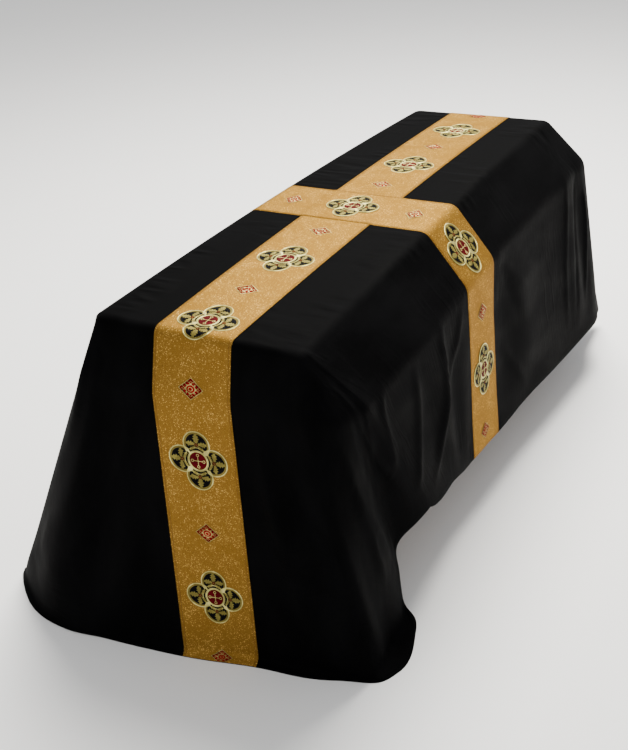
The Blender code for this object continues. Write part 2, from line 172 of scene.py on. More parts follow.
# Folds that run down the fall, as soft ridges, or as troughs where the reach is negative:
# station at the top and at the hem, half width in stations at the top and at the hem,
# the part of the fall where it starts and where it is full, and its reach
MAIN_FOLDS = (
    (7.98, 7.80, 0.05, 0.07, 0.05, 0.60, 0.016),
    (0.10, 7.92, 0.08, 0.05, 0.15, 0.80, -0.014),
    (0.22, 0.02, 0.08, 0.10, 0.45, 0.85, 0.012),
    (0.72, 1.06, 0.07, 0.05, 0.15, 0.55, 0.018),
    (0.86, 1.14, 0.08, 0.05, 0.20, 0.60, -0.012),
    (1.02, 1.22, 0.08, 0.06, 0.15, 0.60, 0.012),
    (2.10, 2.12, 0.05, 0.06, 0.25, 0.60, 0.004),
    (2.25, 2.20, 0.05, 0.05, 0.20, 0.60, 0.014),
    (2.37, 2.33, 0.04, 0.04, 0.20, 0.60, 0.008),
    (2.54, 2.57, 0.05, 0.06, 0.22, 0.50, -0.012),
    (2.62, 2.64, 0.06, 0.08, 0.20, 0.70, 0.010),
    (2.90, 2.91, 0.04, 0.04, 0.10, 0.40, 0.006),
    (2.95, 2.96, 0.03, 0.04, 0.10, 0.40, -0.008),
    (6.15, 6.15, 0.08, 0.08, 0.20, 0.60, 0.014),
    (6.36, 6.38, 0.06, 0.08, 0.20, 0.60, 0.012),
    (6.66, 6.68, 0.05, 0.06, 0.20, 0.60, 0.018),
    (6.82, 6.84, 0.05, 0.06, 0.20, 0.60, 0.016),
    (4.30, 4.28, 0.12, 0.14, 0.20, 0.70, 0.010),
    (4.75, 4.78, 0.12, 0.14, 0.20, 0.70, 0.010),
)

# Finer folds, as creases along a line over the cloth, or as valleys where the reach is negative:
# the line as stations and parts of the fall, its half width and its reach in metres
FINE_FOLDS = (
    (((0.28, 0.14), (0.12, 0.33), (0.00, 0.53), (7.90, 0.71), (7.79, 0.94)), 0.022, 0.008),
    (((0.20, 0.57), (0.08, 0.75), (0.00, 0.82), (7.80, 0.97)), 0.016, 0.005),
    (((0.27, 0.45), (0.24, 0.70), (0.20, 0.90)), 0.014, 0.003),
    (((7.80, 0.62), (7.78, 0.77), (7.73, 0.96)), 0.016, 0.006),
    (((0.80, 0.14), (0.85, 0.29), (0.89, 0.42), (0.95, 0.55), (1.02, 0.76), (1.08, 0.93)), 0.022, 0.009),
    (((1.10, 0.16), (1.14, 0.29), (1.20, 0.44)), 0.018, 0.005),
    (((1.20, 0.06), (1.28, 0.24), (1.38, 0.38)), 0.014, 0.004),
    (((1.29, 0.36), (1.37, 0.56), (1.38, 0.76)), 0.016, 0.007),
    (((0.72, 0.72), (0.80, 0.90), (0.97, 0.96), (1.10, 0.97)), 0.022, -0.005),
    (((1.60, 0.05), (1.61, 0.14), (1.62, 0.26), (1.70, 0.43), (1.80, 0.63), (1.90, 0.92)), 0.016, 0.007),
    (((1.24, 0.22), (1.33, 0.39), (1.41, 0.53), (1.47, 0.72), (1.52, 0.94)), 0.018, 0.008),
    (((2.27, 0.23), (2.26, 0.34), (2.25, 0.47), (2.22, 0.60), (2.15, 0.78), (2.05, 0.95)), 0.018, 0.011),
    (((2.37, 0.26), (2.33, 0.40), (2.26, 0.52), (2.22, 0.64)), 0.016, 0.006),
    (((2.16, 0.28), (2.13, 0.47), (2.06, 0.70), (1.97, 0.92)), 0.018, 0.008),
    (((2.06, 0.24), (1.93, 0.50), (1.84, 0.66)), 0.016, 0.006),
    (((1.79, 0.20), (1.75, 0.34), (1.71, 0.46)), 0.014, 0.005),
    (((2.54, 0.26), (2.58, 0.42), (2.63, 0.66)), 0.020, -0.004),
    (((2.52, 0.24), (2.58, 0.36), (2.68, 0.54)), 0.016, 0.003),
    (((2.54, 0.64), (2.60, 0.82), (2.65, 0.98)), 0.018, 0.006),
    (((2.90, 0.20), (2.88, 0.40), (2.86, 0.62), (2.85, 0.96)), 0.013, 0.005),
    (((2.96, 0.24), (2.92, 0.48), (2.89, 0.94)), 0.013, -0.006),
    (((3.02, 0.28), (2.99, 0.58), (2.95, 0.90)), 0.013, 0.006),
)


# The shape of the cloth


def top_half(y):
    """Half the top's width, which narrows to the far end."""
    return TOP_HALF_NEAR + (TOP_HALF_FAR - TOP_HALF_NEAR) * (y - NEAR_Y) / TOP_LENGTH


def top_z(y):
    """Height of the cloth on the top, which is slightly crowned along its length."""
    return TOP_HEIGHT + TOP_CROWN * (1 - (2 * y / TOP_LENGTH) ** 2)


def ways(angle):
    """Unit steps in the plane at angles in radians."""
    return np.stack([np.cos(angle), np.sin(angle)], -1)


def steps(limits, counts):
    """Even steps between each pair of limits, each limit once."""
    runs = [np.linspace(a, b, n + 1)[:-1] for a, b, n in zip(limits, limits[1:], counts)]
    return np.concatenate(runs + [limits[-1:]])


def smooth_between(known, values, wanted):
    """A smooth curve through the values, one slope at each known place from its two neighbours."""
    known, values = np.asarray(known), np.asarray(values)
    slopes = np.gradient(values, known)
    right = np.clip(np.searchsorted(known, wanted, side="right"), 1, len(known) - 1)
    left = right - 1
    gap = known[right] - known[left]
    q = (wanted - known[left]) / gap
    rise = q * q * (3 - 2 * q) * (values[right] - values[left])
    bend = q * (1 - q) * ((1 - q) * slopes[left] - q * slopes[right])
    return values[left] + rise + gap * bend


def ring_values(column, station):
    """One column of the sections' table at the stations, taken round the ring without a seam."""
    table = np.array(SECTIONS)
    known = np.concatenate([table[:, 0] + turn * RING for turn in (-1, 0, 1)])
    return smooth_between(known, np.tile(table[:, column], 3), np.mod(station, RING))


def ring_offset(station, middle):
    """Signed way round the ring from the middle to the station, by the shorter side."""
    return (station - middle + RING / 2) % RING - RING / 2


def side_stations():
    """Places along the coffin where the columns of the sides stand."""
    limits = (NEAR_Y + CORNER_ROUND, CROSS_Y - BAND_HALF, CROSS_Y + BAND_HALF, CLOSE_STEPS_FROM,
              FAR_Y - CORNER_ROUND)
    return steps(limits, SIDE_STEPS)


def end_stations(half):
    """Places across the coffin where the columns of an end stand."""
    limits = (-half + CORNER_ROUND, -BAND_HALF, BAND_HALF, half - CORNER_ROUND)
    return steps(limits, END_STEPS)


def corner_columns(centre, start_angle, count, station):
    """Columns that fan out from a rounded corner of the top, without the first and the last."""
    q = np.arange(1, count) / count
    way = ways(start_angle + q * math.pi / 2)
    return centre + way * CORNER_ROUND, way, station + q


def straight_columns(foot, way, station):
    """Columns that leave a straight edge of the top at right angles."""
    return foot, np.tile(way, (len(foot), 1)), station


def ring_columns():
    """Every column of the fall: where it starts in the flat cloth, its direction there, and its station."""
    near_x = end_stations(TOP_HALF_NEAR)
    far_x = end_stations(TOP_HALF_FAR)
    side_y = side_stations()
    near, far = NEAR_Y + CORNER_ROUND, FAR_Y - CORNER_ROUND
    near_half, far_half = near_x[-1], far_x[-1]

    def along(values):
        return (values - values[0]) / (values[-1] - values[0])

    def edge(y, sign):
        return np.stack([sign * top_half(y), y], 1)

    groups = (
        straight_columns(np.stack([near_x, np.full_like(near_x, NEAR_Y)], 1), (0, -1), along(near_x)),
        corner_columns((near_half, near), -math.pi / 2, CORNER_STEPS[0], 1),
        straight_columns(edge(side_y, 1), (1, 0), 2 + along(side_y)),
        corner_columns((far_half, far), 0, CORNER_STEPS[1], 3),
        straight_columns(np.stack([far_x[::-1], np.full_like(far_x, FAR_Y)], 1), (0, 1), 4 + along(far_x)),
        corner_columns((-far_half, far), math.pi / 2, CORNER_STEPS[2], 5),
        straight_columns(edge(side_y[::-1], -1), (-1, 0), 7 - along(side_y)[::-1]),
        corner_columns((-near_half, near), math.pi, CORNER_STEPS[3], 7),
    )
    return [np.concatenate(part) for part in zip(*groups)]


def inside_outline(point):
    """Below 0 inside the pall's flat outline with its rounded corners, above 0 outside."""
    half = np.array([PALL_HALF_WIDTH, PALL_LENGTH / 2]) - PALL_CORNER_RADIUS
    beyond = np.abs(point - (0, CROSS_Y)) - half
    outside = np.linalg.norm(np.maximum(beyond, 0), axis=-1)
    return outside + np.minimum(beyond.max(-1), 0) - PALL_CORNER_RADIUS


def fall_lengths(foot, way):
    """How far each column runs in the flat cloth from the top's edge to the hem, by halving."""
    low, high = np.zeros(len(foot)), np.full(len(foot), PALL_LENGTH)
    for _ in range(40):
        middle = (low + high) / 2
        out = inside_outline(foot + way * middle[:, None]) > 0
        high = np.where(out, middle, high)
        low = np.where(out, low, middle)
    return low


def bent_path(corners, length):
    """Points along a path through the corners, with its bends spread softly.

    corners holds the columns' paths as (column, corner, xyz), and length holds the wanted lengths from
    the third corner on, the top's edge, as (column, step).
    """
    runs = np.linalg.norm(np.diff(corners, axis=1), axis=2)
    at = np.concatenate([np.zeros((len(runs), 1)), np.cumsum(runs, 1)], 1)
    at -= at[:, 2:3]
    points = np.zeros(length.shape + (3,))
    for offset in np.linspace(-BEND_HALF, BEND_HALF, BEND_SAMPLES):
        for k in range(len(corners)):
            for axis in range(3):
                points[k, :, axis] += np.interp(length[k] + offset, at[k], corners[k, :, axis])
    return points / BEND_SAMPLES


def column_corners(foot, way, station):
    """Corners of the columns' paths: two inside the top, its edge, the lid's lower edge, floor, run-out."""

    def on_top(reach):
        place = foot - way * reach
        return np.column_stack([place, top_z(place[:, 1])])

    edge = on_top(0)
    lid = np.column_stack([ring_values(1, station), ring_values(2, station), edge[:, 2] - SLOPE_DROP])
    floor_xy = np.column_stack([ring_values(3, station), ring_values(4, station)])
    floor = np.column_stack([floor_xy, np.full(len(foot), CLOTH_THICKNESS)])
    out = floor_xy - foot
    out /= np.linalg.norm(out, axis=1)[:, None]
    run_out = floor + np.column_stack([out * RUN_OUT, np.zeros(len(foot))])
    return np.stack([on_top(INNER_REACH), on_top(CORNER_ROUND), edge, lid, floor, run_out], 1)


def ring_normals(points):
    """Outward unit normals of the fall's grid, which closes on itself round the ring."""
    round_ring = np.roll(points, -1, 0) - np.roll(points, 1, 0)
    down = np.gradient(points, axis=1)
    normal = np.cross(down, round_ring)
    return normal / np.maximum(np.linalg.norm(normal, axis=2), 1e-9)[..., None]


def soft_step(q):
    """Smoothly from 0 to 1 as q goes from 0 to 1, and level beyond."""
    q = np.clip(q, 0, 1)
    return q * q * (3 - 2 * q)


def fold_reach(station, fall):
    """How far the main folds push the cloth out at each station and part of the fall."""
    reach = np.zeros(np.broadcast(station, fall).shape)
    for top_at, hem_at, top_half_width, hem_half_width, starts, full, height in MAIN_FOLDS:
        middle = top_at + ring_offset(hem_at, top_at) * fall
        half_width = top_half_width + (hem_half_width - top_half_width) * fall
        away = ring_offset(station, middle) / half_width
        growth = soft_step((fall - starts) / (full - starts))
        rounded = np.clip(1 - (away / 2) ** 2, 0, 1) ** 4
        reach += height * growth * rounded
    return reach


def line_over(points, station, fall, line):
    """Close-set points in space along a line given as stations and parts of the fall."""
    stations, parts = zip(*line)
    corners = range(len(line))
    q = np.linspace(0, len(line) - 1, FINE_FOLD_SAMPLES)
    turned = np.interp(q, corners, np.unwrap(stations, period=RING))
    places = []
    for at, part in zip(turned, np.interp(q, corners, parts)):
        column = np.argmin(np.abs(ring_offset(station, at)))
        places.append([np.interp(part, fall[column], points[column, :, axis]) for axis in range(3)])
    places = np.array(places)
    for _ in range(FINE_FOLD_SMOOTHING):
        places[1:-1] = (places[:-2] + 2 * places[1:-1] + places[2:]) / 4
    return places


def fine_fold_reach(points, station, fall):
    """How far the finer folds push the cloth out, by each point's distance from their lines."""
    reach = np.zeros(points.shape[:2])
    for line, half_width, height in FINE_FOLDS:
        places = line_over(points, station, fall, line)
        q = np.linspace(0, 1, len(places))
        fade = soft_step(np.minimum(q, 1 - q) / FINE_FOLD_END)
        low, high = places.min(0) - 3 * half_width, places.max(0) + 3 * half_width
        near = ((points > low) & (points < high)).all(-1)
        apart = np.linalg.norm(points[near][:, None] - places, axis=2)
        nearest = apart.argmin(1)
        away = apart[np.arange(len(apart)), nearest] / half_width
        reach[near] += height * fade[nearest] * np.exp(-1.2 * away**1.5)
    return reach


def fall_grid():
    """The fall's outer surface from just inside the top's edge to the hem, and its flat places."""
    foot, way, station = ring_columns()
    length = fall_lengths(foot, way)
    corners = column_corners(foot, way, station)
    low_lid = np.linalg.norm(corners[:, 3] - corners[:, 2], axis=1) + LID_ROW
    edge = np.tile(EDGE_ROWS, (len(length), 1))
    to_lid = np.linspace(EDGE_ROWS[-1], low_lid, LID_STEPS + 1, axis=1)[:, 1:]
    to_hem = np.linspace(low_lid, length, HANGING_STEPS + 1, axis=1)[:, 1:]
    wanted = np.concatenate([edge, to_lid, to_hem], 1)
    points = bent_path(corners, wanted)
    fall = np.clip(wanted / length[:, None], 0, 1)
    reach = fold_reach(station[:, None], fall) + fine_fold_reach(points, station, fall)
    evened = sum(np.roll(reach, shift, 0) for shift in range(-HEM_EVENED, HEM_EVENED + 1))
    evened /= 2 * HEM_EVENED + 1
    reach += (evened - reach) * soft_step((fall - HEM_EVEN_FROM) / (1 - HEM_EVEN_FROM))
    above_floor = np.clip((points[..., 2] - CLOTH_THICKNESS) / FOLDS_FADE, 0, 1)
    points += ring_normals(points) * (reach * above_floor)[..., None]
    points[..., 2] = np.maximum(points[..., 2], CLOTH_THICKNESS)
    flat = foot[:, None] + way[:, None] * wanted[..., None]
    return points, flat


def grid_faces(grid):
    """Quads of a grid of point numbers, with triangles where two corners are the same point."""
    a, b = grid[:-1, :-1].ravel(), grid[1:, :-1].ravel()
    c, d = grid[1:, 1:].ravel(), grid[:-1, 1:].ravel()
    faces = np.stack([a, b, c, d], 1)
    pinched = (d == c) | (a == b)
    whole = faces[~pinched].tolist()
    return whole + [list(dict.fromkeys(face)) for face in faces[pinched].tolist()]


def pall_surface():
    """The whole outer surface: points, flat places, faces, and point numbers of the top and of the fall.

    Last come the numbers of the fall below the near end, the right side, the far end and the left side.
    """
    fall, fall_flat = fall_grid()
    side_y = side_stations()
    across, along = sum(END_STEPS) + 1, len(side_y)
    top = np.empty((across, along, 3))
    for j, y in enumerate(side_y):
        top[:, j, 0] = end_stations(top_half(y))
        top[:, j, 1] = y
        top[:, j, 2] = top_z(y)
    top_numbers = np.arange(across * along).reshape(across, along)

    columns, rows = fall.shape[:2]
    numbers = np.arange(columns * rows).reshape(columns, rows) + across * along
    rims = []
    edges = (top_numbers[:, 0], top_numbers[-1, :], top_numbers[::-1, -1], top_numbers[0, ::-1])
    for edge, count in zip(edges, CORNER_STEPS):
        rims += [edge, np.full(count - 1, edge[-1])]
    numbers[:, 0] = np.concatenate(rims)
    straight = np.split(numbers, np.cumsum([len(rim) for rim in rims])[:-1])[::2]

    points = np.concatenate([top.reshape(-1, 3), fall.reshape(-1, 3)])
    flat = np.concatenate([top.reshape(-1, 3)[:, :2], fall_flat.reshape(-1, 2)])
    closed = np.concatenate([numbers, numbers[:1]])
    faces = grid_faces(top_numbers) + grid_faces(closed[:, ::-1])
    return points, flat, faces, top_numbers, numbers, straight


def vertex_normals(points, faces):
    """Unit normals at the points, each face counted by its area."""
    normals = np.zeros_like(points)
    for size in (3, 4):
        chosen = np.array([face for face in faces if len(face) == size])
        diagonal = points[chosen[:, 2]] - points[chosen[:, 0]]
        other = points[chosen[:, -1]] - points[chosen[:, 1]]
        normal = np.cross(diagonal, other)
        for k in range(size):
            np.add.at(normals, chosen[:, k], normal)
    return normals / np.maximum(np.linalg.norm(normals, axis=1), 1e-12)[:, None]


# Meshes


def add_object(name, data):
    """A new object in the scene."""
    obj = bpy.data.objects.new(name, data)
    bpy.context.scene.collection.objects.link(obj)
    return obj


def mesh_object(name, points, faces, materials, face_material=None, **maps):
    """A smooth mesh. maps holds UV maps as one flat place for each point."""
    used, index = np.unique(np.concatenate(faces), return_inverse=True)
    sizes = np.array([len(face) for face in faces])
    ends = np.cumsum(sizes)
    new_faces = [index[end - size:end].tolist() for end, size in zip(ends, sizes)]
    mesh = bpy.data.meshes.new(name)
    mesh.from_pydata(points[used].tolist(), [], new_faces)
    mesh.shade_smooth()
    for map_name, places in maps.items():
        layer = mesh.uv_layers.new(name=map_name)
        layer.uv.foreach_set("vector", places[used][index].astype(np.float32).ravel())
    for material in materials:
        mesh.materials.append(material)
    if face_material is not None:
        mesh.polygons.foreach_set("material_index", face_material)
    return add_object(name, mesh)


def thicken(obj, thickness, offset, inner_material=0):
    """Makes an open surface a solid sheet: offset -1 thickens it inwards, and 1 outwards."""
    solid = obj.modifiers.new("Thickness", "SOLIDIFY")
    solid.thickness = thickness
    solid.offset = offset
    solid.use_even_offset = False
    solid.material_offset = inner_material


# Bands as surfaces that things are placed on


def band_grids(top_numbers, straight):
    """Point numbers of the two bands as (line across, step from hem to hem)."""
    near, right, far, left = (numbers[:, 1:] for numbers in straight)
    lines = slice(END_STEPS[0], END_STEPS[0] + END_STEPS[1] + 1)
    long_grid = np.concatenate([near[lines, ::-1], top_numbers[lines], far[::-1][lines]], 1)
    lines = slice(SIDE_STEPS[0], SIDE_STEPS[0] + SIDE_STEPS[1] + 1)
    cross_grid = np.concatenate([left[::-1][lines, ::-1], top_numbers[:, lines].T, right[lines]], 1)
    return long_grid, cross_grid


def band_surface(grid, points, normals, flat, crosswise):
    """A band's underside as lines from hem to hem: places across and along, points and normals."""
    place = flat[grid]
    across = place[:, 0, 1] - CROSS_Y if crosswise else place[:, 0, 0]
    along = place[..., 0] if crosswise else place[..., 1]
    lift = np.full(grid.shape, SEWN_GAP)
    if crosswise:
        lift += CROSSING_LIFT * soft_step((BAND_HALF + CROSSING_RAMP - np.abs(along)) / CROSSING_RAMP)
    return across, along, points[grid] + normals[grid] * lift[..., None], normals[grid]


def on_band(band, at, lift):
    """Places in the row frame of points given across and along a band, lifted off its underside."""
    across, along, points, normals = band
    line = np.clip(np.searchsorted(across, at[:, 0]) - 1, 0, len(across) - 2)
    share = np.clip((at[:, 0] - across[line]) / (across[line + 1] - across[line]), 0, 1)
    placed = np.zeros((len(at), 3))
    for k in np.unique(line):
        chosen = line == k
        for side, weight in ((k, 1 - share[chosen]), (k + 1, share[chosen])):
            for axis in range(3):
                point = np.interp(at[chosen, 1], along[side], points[side, :, axis])
                normal = np.interp(at[chosen, 1], along[side], normals[side, :, axis])
                placed[chosen, axis] += weight * (point + normal * lift[chosen])
    return placed


def add_band(name, band, grid, material):
    """A band's own sheet."""
    across, along, points, _ = band
    lines, count = along.shape
    numbers = np.arange(lines * count).reshape(lines, count)
    places = np.stack([np.repeat(across, count), along.ravel()], 1)
    return mesh_object(name, points.reshape(-1, 3), grid_faces(numbers), [material], flat=places)


# Motifs: flat shapes with a height at each point, in parts of the motif's reach


class Shapes:
    """Points, heights and coloured faces that a motif is made of."""

    def __init__(self):
        self.points, self.heights, self.faces, self.colours = [], [], [], []
        self.count = 0

    def add(self, points, heights, faces, colour):
        self.points.append(points)
        self.heights.append(heights)
        self.faces += [[k + self.count for k in face] for face in faces]
        self.colours += [colour] * len(faces)
        self.count += len(points)

    def disc(self, centre, radius, colour, height, rings=4, sectors=32, corners=0):
        """A filled round shape, or one with so many corners, whose rim is drawn down a little."""
        angle = 2 * math.pi * np.arange(sectors) / sectors
        reach = np.ones(sectors)
        if corners:
            half = math.pi / corners
            reach = math.cos(half) / np.cos((angle % (2 * half)) - half)
        points, heights = [np.zeros((1, 2))], [np.full(1, height)]
        for ring in range(1, rings + 1):
            q = ring / rings
            points.append(ways(angle) * (reach * q)[:, None])
            heights.append(np.full(sectors, height if ring < rings else height * 0.5))
        numbers = np.zeros((sectors + 1, rings + 1), int)
        numbers[:-1, 1:] = 1 + np.arange(rings * sectors).reshape(rings, sectors).T
        numbers[-1] = numbers[0]
        places = np.concatenate(points) * radius + centre
        self.add(places, np.concatenate(heights), grid_faces(numbers[::-1]), colour)

    def cord(self, spine, half_width, colour, height, closed=False):
        """A raised cord along a spine. half_width is one number, or one for each point of the spine."""
        spine = np.asarray(spine, float)
        count = len(spine)
        if closed:
            way = np.roll(spine, -1, 0) - np.roll(spine, 1, 0)
        else:
            way = np.gradient(spine, axis=0)
        way /= np.maximum(np.linalg.norm(way, axis=1), 1e-9)[:, None]
        side = np.stack([-way[:, 1], way[:, 0]], 1) * np.broadcast_to(half_width, (count,))[:, None]
        profile = ((-1.0, 0.3), (-0.5, 0.9), (0.0, 1.0), (0.5, 0.9), (1.0, 0.3))
        points = np.concatenate([spine + side * share for share, _ in profile])
        heights = np.concatenate([np.full(count, height * rise) for _, rise in profile])
        numbers = np.arange(len(points)).reshape(-1, count).T
        if closed:
            numbers = np.concatenate([numbers, numbers[:1]])
        self.add(points, heights, grid_faces(numbers), colour)

    def ring(self, centre, radius, half_width, colour, height, count):
        """A raised cord that closes on itself."""
        self.cord(arc(centre, radius, 0, 360 - 360 / count, count), half_width, colour, height, closed=True)

    def turned(self):
        """Copies the shapes so far to each of the other quarter turns."""
        points, heights = np.concatenate(self.points), np.concatenate(self.heights)
        faces, colours, count = list(self.faces), list(self.colours), self.count
        for turn, (c, s) in enumerate(((0, 1), (-1, 0), (0, -1)), 1):
            self.points.append(points @ np.array([[c, s], [-s, c]]))
            self.heights.append(heights)
            self.faces += [[k + count * turn for k in face] for face in faces]
            self.colours += colours
            self.count += count


PALE, LEAF, BLACK, RED, OLD_GOLD, BRIGHT_RED = range(6)


def arc(centre, radius, start, end, count):
    """Points along an arc, its angles in degrees."""
    return ways(np.radians(np.linspace(start, end, count))) * radius + centre


def leaf(shapes, root, direction, length, half_width, teeth):
    """A serrated leaf that starts at the root, with its direction in degrees."""
    count = 6 * teeth + 1
    q = np.linspace(0, 1, count)
    spine = root + np.outer(q * length, ways(math.radians(direction)))
    swell = np.sin(math.pi * (0.06 + 0.88 * q)) ** 0.75
    notch = 1 - 0.48 * np.abs(np.sin(math.pi * teeth * q)) ** 2
    shapes.cord(spine, half_width * swell * notch, LEAF, 0.0011)
    shapes.cord(spine[: count * 3 // 4], 0.010, OLD_GOLD, 0.0013)


def joined(shapes, part):
    """Adds another set of shapes, each face with its own colour."""
    start = len(shapes.colours)
    shapes.add(np.concatenate(part.points), np.concatenate(part.heights), part.faces, PALE)
    shapes.colours[start:] = part.colours


def quatrefoil():
    """Four linked lobes with a sprig in each, round a roundel with a small cross."""
    shapes = Shapes()
    lobe, lobe_radius = (0.54, 0.0), 0.46
    bud = (0.545, 0.0)
    shapes.disc(lobe, lobe_radius - 0.01, OLD_GOLD, 0.0004, rings=8, sectors=44)
    shapes.disc(lobe, lobe_radius - 0.080, BLACK, 0.0006, rings=7, sectors=40)
    shapes.cord(arc(lobe, lobe_radius - 0.022, -128, 128, 44), 0.020, PALE, 0.0014)
    shapes.cord(arc(lobe, lobe_radius - 0.076, -122, 122, 44), 0.009, LEAF, 0.0010)
    shapes.cord(arc((0, 0), 0.445, -34, 34, 14), 0.014, PALE, 0.0011)
    for angle in (-24, 0, 24):
        shapes.cord(arc((0, 0), 0.385, angle - 8, angle + 8, 5), 0.018, BLACK, 0.0012)
    leaf(shapes, (0.57, 0), 0, 0.335, 0.145, 4)
    for side in (-1, 1):
        leaf(shapes, (0.53, 0.02 * side), 82 * side, 0.330, 0.140, 4)
        leaf(shapes, (0.50, 0.05 * side), 130 * side, 0.24, 0.090, 3)
        for direction, length in ((42, 0.27), (110, 0.22)):
            way = ways(math.radians(direction * side))
            spine = bud + np.outer((0.075, 0.5 * length, length), way)
            shapes.cord(spine, (0.018, 0.024, 0.040), BLACK, 0.0017)
    shapes.disc(bud, 0.070, LEAF, 0.0012, rings=2, sectors=14)
    shapes.ring(bud, 0.040, 0.022, RED, 0.0022, 12)
    shapes.disc(bud, 0.019, LEAF, 0.0016, rings=2, sectors=10)
    shapes.cord(((0.235, 0.235), (0.30, 0.30), (0.36, 0.36), (0.42, 0.42)), 0.034, PALE, 0.0012)
    shapes.turned()
    for side in (-1, 1):
        shapes.disc((0.30 * side, 0.30 * side), 0.085, PALE, 0.0018, rings=3, sectors=18)

    centre = Shapes()
    centre.disc((0, 0), 0.35, OLD_GOLD, 0.0007, rings=6, sectors=48)
    centre.disc((0, 0), 0.300, RED, 0.0011, rings=5, sectors=48)
    centre.ring((0, 0), 0.315, 0.021, PALE, 0.0016, 60)
    centre.ring((0, 0), 0.350, 0.010, PALE, 0.0012, 60)
    joined(shapes, centre)

    arm = Shapes()
    arm.cord(((0, 0), (0.04, 0), (0.09, 0), (0.15, 0)), (0.024, 0.014, 0.012, 0.015), PALE, 0.0017)
    arm.ring((0.195, 0), 0.041, 0.012, PALE, 0.0017, 20)
    arm.turned()
    joined(shapes, arm)
    return shapes


def diamond():
    """A pale lozenge with a red broken border, small leaves and a ring in the middle."""
    shapes = Shapes()
    shapes.disc((0, 0), 1.0, PALE, 0.0004, rings=6, sectors=32, corners=4)
    shapes.disc((0, 0), 0.93, BRIGHT_RED, 0.0006, rings=6, sectors=32, corners=4)
    shapes.disc((0, 0), 0.80, PALE, 0.0008, rings=5, sectors=32, corners=4)
    for q in (0.25, 0.50, 0.75):
        at = np.array([1 - q, q])
        shapes.cord((at * 0.79, at * 0.85, at * 0.91), 0.016, PALE, 0.0015)
    for q in (0.30, 0.70):
        at = np.array([1 - q, q]) * 0.62
        along = np.array([-0.085, 0.085])
        shapes.cord((at - along, at, at + along), (0.050, 0.095, 0.050), BRIGHT_RED, 0.0017)
    shapes.disc((0.575, 0), 0.105, BRIGHT_RED, 0.0014, rings=2, sectors=12, corners=4)
    shapes.turned()
    centre = Shapes()
    centre.disc((0, 0), 0.34, BRIGHT_RED, 0.0014, rings=5, sectors=32)
    centre.ring((0, 0), 0.165, 0.026, PALE, 0.0024, 30)
    joined(shapes, centre)
    return shapes


def add_motifs(name, band, places, materials, limits):
    """Sews motifs on a band: places holds (shapes, reach, place along the band)."""
    points, faces, colours, flat = [], [], [], []
    count = 0
    for shapes, reach, along in places:
        at = np.concatenate(shapes.points) * np.array(reach) + np.array([0, along])
        heights = np.concatenate(shapes.heights)
        outside = (at[:, 1] < limits[0]) | (at[:, 1] > limits[1])
        kept = [k for k, face in enumerate(shapes.faces) if not all(outside[j] for j in face)]
        at[:, 1] = np.clip(at[:, 1], *limits)
        points.append(on_band(band, at, BAND_THICKNESS + heights))
        flat.append(at)
        faces += [[j + count for j in shapes.faces[k]] for k in kept]
        colours += [shapes.colours[k] for k in kept]
        count += len(at)
    points, flat = np.concatenate(points), np.concatenate(flat)
    return mesh_object(name, points, faces, materials, colours, flat=flat)


# Stitches


def stitch_faces(base):
    """The four faces of a stitch, whose nine points start at the base."""
    return [[a, a + 1, a + 4, a + 3] for a in (base, base + 1, base + 3, base + 4)]


def dashes(spots, stitch, gap, half_width, height):
    """Flat stitches along lines given as (fixed place across, start, end, crosswise)."""
    points, heights, faces = [], [], []
    for fixed, start, end, swapped in spots:
        count = int((end - start) / (stitch + gap))
        for k in range(count):
            low = start + k * (stitch + gap)
            for along, full in ((low, 0.35), (low + stitch / 2, 1.0), (low + stitch, 0.35)):
                for side, rise in STITCH_PROFILE:
                    at = (fixed + side * half_width, along)
                    points.append(at[::-1] if swapped else at)
                    heights.append(height * rise * full)
            faces += stitch_faces(len(points) - 9)
    return np.array(points), np.array(heights), faces


def add_band_stitches(name, band, ends, material):
    """Rows of stitches along both edges of a band, and across it above each hem."""
    edge = BAND_HALF - STITCH_INSET
    stitch = BAND_STITCH[0]
    spots = [(side * edge, ends[0] + stitch, ends[1] - stitch, False) for side in (-1, 1)]
    spots += [(end + inset, -edge, edge, True) for end, inset in zip(ends, (STITCH_INSET, -STITCH_INSET))]
    at, heights, faces = dashes(spots, *BAND_STITCH)
    places = on_band(band, at, BAND_THICKNESS + heights)
    return mesh_object(name, places, faces, [material], flat=at)


def add_hem_stitches(points, normals, numbers, flat, material):
    """Stitches all round the pall, a little above its hem."""
    lower, upper = numbers[:, -1], numbers[:, -2]
    spacing = np.linalg.norm(flat[lower] - flat[upper], axis=1)
    share = (HEM_INSET / spacing)[:, None]
    line = points[lower] * (1 - share) + points[upper] * share
    normal = normals[lower] * (1 - share) + normals[upper] * share
    line, normal = np.concatenate([line, line[:1]]), np.concatenate([normal, normal[:1]])
    runs = np.linalg.norm(np.diff(line, axis=0), axis=1)
    at = np.concatenate([[0], np.cumsum(runs)])
    stitch, gap, half_width, height = HEM_STITCH
    count = int(at[-1] / (stitch + gap))
    along = np.add.outer(np.arange(count) * (stitch + gap), (0, stitch / 2, stitch))
    spots, up = (np.stack([np.interp(along, at, values[:, axis]) for axis in range(3)], 2)
                 for values in (line, normal))
    up /= np.linalg.norm(up, axis=2)[..., None]
    side = np.cross(up[:, 1], spots[:, 2] - spots[:, 0])
    side *= half_width / np.maximum(np.linalg.norm(side, axis=1), 1e-9)[:, None]
    up *= height * np.array((0.3, 1.0, 0.3))[:, None]
    places = np.stack([spots + side[:, None] * across + up * rise for across, rise in STITCH_PROFILE], 2)
    faces = [face for k in range(count) for face in stitch_faces(9 * k)]
    return mesh_object("hem_stitches", places.reshape(-1, 3), faces, [material])


# Materials


